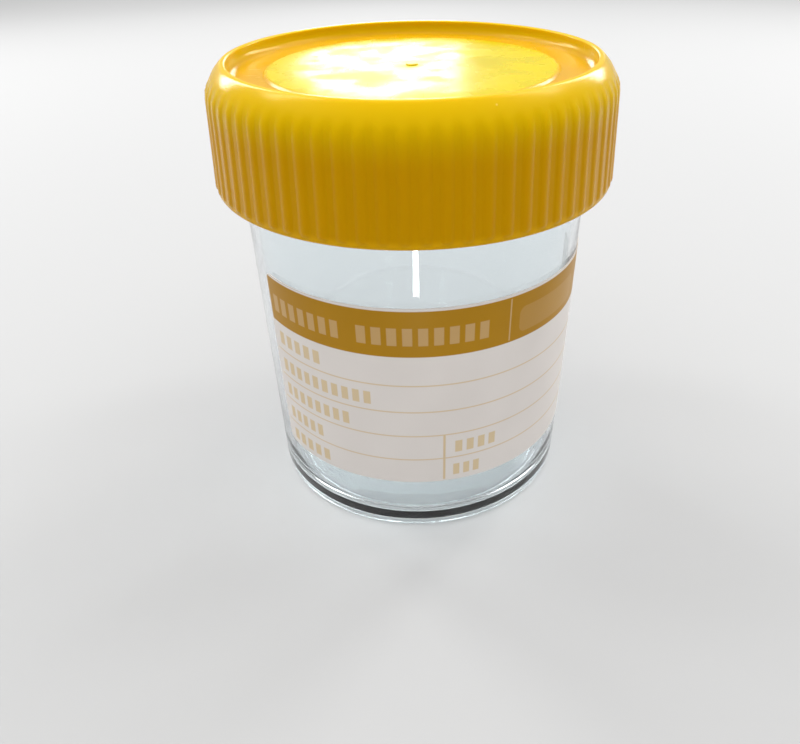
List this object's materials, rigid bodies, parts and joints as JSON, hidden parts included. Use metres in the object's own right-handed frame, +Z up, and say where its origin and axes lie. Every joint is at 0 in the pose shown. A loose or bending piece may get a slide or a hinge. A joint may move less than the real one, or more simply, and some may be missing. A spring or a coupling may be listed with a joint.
{
  "type": "specimen container",
  "caption": "Clear plastic specimen container with a ribbed yellow screw cap, a stacking recess in the cap and a wrapped writing label.",
  "frame": {"origin": "centre of the foot ring's flat face, on the surface that the container stands on", "axes": "+Z up through the mouth along the container's axis, -Y towards the side that carries the start of the label, +X to the right of that side"},
  "size_m": [0.0634, 0.0634, 0.0731],
  "materials": {
    "clear_polystyrene": "clear, polished moulding",
    "yellow_cap_plastic": "glossy, slightly translucent moulding",
    "label_film": "satin white label with ochre print"
  },
  "bodies": {
    "container": {"container_body": "clear_polystyrene", "label": "label_film"},
    "cap": {"screw_cap": "yellow_cap_plastic"}
  },
  "joints": [
    {"name": "cap_lift", "type": "slide", "parent": "container", "child": "cap", "axis": [0, 0, 1], "range_m": [0, 0.03]}
  ]
}
